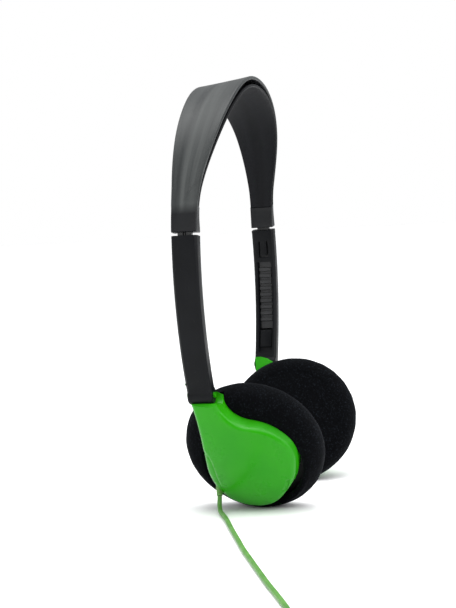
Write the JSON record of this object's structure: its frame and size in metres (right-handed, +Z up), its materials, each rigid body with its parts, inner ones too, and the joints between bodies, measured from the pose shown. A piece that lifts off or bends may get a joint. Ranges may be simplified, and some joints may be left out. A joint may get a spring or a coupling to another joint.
{
  "type": "on-ear headphones",
  "caption": "Lightweight on-ear headphones: two-layer band, ratcheted slider arms, tilting teardrop cups with foam pads and a single-sided cord wound into a coil with its plug.",
  "frame": {"origin": "centre of the bottom of the headphones without their cord, on the surface they stand on", "axes": "+X to the wearer's right, +Y to the front, +Z up along the headband's height"},
  "size_m": [0.3248, 0.0951, 0.1851],
  "materials": {
    "black_satin": "satin moulded black plastic with a very fine grain",
    "band_outer": "satin dark grey-black flexible plastic with soft wide highlights",
    "black_inner": "plain black moulded plastic",
    "green_shell": "bright green semi-gloss moulded plastic, smooth",
    "green_cord": "satin green flexible PVC",
    "black_wire": "thin black PVC insulated wire",
    "black_foam": "open-cell black acoustic foam with a fine fuzzy speckle",
    "steel": "plated steel",
    "clear_film": "thin milky polyester film",
    "copper": "enamelled copper winding",
    "grey_felt": "grey damping felt",
    "board": "green solder-mask board"
  },
  "bodies": {
    "left_cup": {"left_pivot_pin": "steel", "left_shell": "green_shell", "left_baffle": "black_inner", "left_foam_pad": "black_foam", "left_driver_frame": "black_inner", "left_diaphragm": "clear_film", "left_voice_coil": "copper", "left_pole_plate": "steel", "left_driver_magnet": "steel", "left_driver_yoke": "steel", "left_damping_felt": "grey_felt", "left_terminal_board": "board", "left_screw_1": "steel", "left_screw_2": "steel", "cord_gland": "green_cord", "cord_lead": "green_cord", "cord_coil": "green_cord", "plug_boot": "green_cord", "plug_body": "black_satin", "plug_sleeve": "steel", "plug_ring": "steel", "plug_tip": "steel"},
    "left_arm": {"left_arm": "black_satin"},
    "headband": {"headband_cover": "band_outer", "headband_strap": "black_inner", "crossover_wire": "black_wire", "left_rack": "black_inner", "right_rack": "black_inner"},
    "right_arm": {"right_arm": "black_satin"},
    "right_cup": {"right_pivot_pin": "steel", "right_shell": "green_shell", "right_baffle": "black_inner", "right_foam_pad": "black_foam", "right_driver_frame": "black_inner", "right_diaphragm": "clear_film", "right_voice_coil": "copper", "right_pole_plate": "steel", "right_driver_magnet": "steel", "right_driver_yoke": "steel", "right_damping_felt": "grey_felt", "right_terminal_board": "board", "right_screw_1": "steel", "right_screw_2": "steel"}
  },
  "joints": [
    {"name": "left_tilt", "type": "hinge", "parent": "left_cup", "child": "left_arm", "pos_m": [-0.05852, 0.0162, 0.05222], "axis": [0, -1, 0], "range_deg": [-2, 12]},
    {"name": "left_slide", "type": "hinge", "parent": "left_arm", "child": "headband", "pos_m": [0.13162, 0.0162, 0.10761], "axis": [0, 1, 0], "range_deg": [-0.25, 7.4]},
    {"name": "right_slide", "type": "hinge", "parent": "headband", "child": "right_arm", "pos_m": [-0.13162, 0.0162, 0.10761], "axis": [0, 1, 0], "range_deg": [-0.25, 7.4]},
    {"name": "right_tilt", "type": "hinge", "parent": "right_arm", "child": "right_cup", "pos_m": [0.05852, 0.0162, 0.05222], "axis": [0, -1, 0], "range_deg": [-2, 12]}
  ]
}
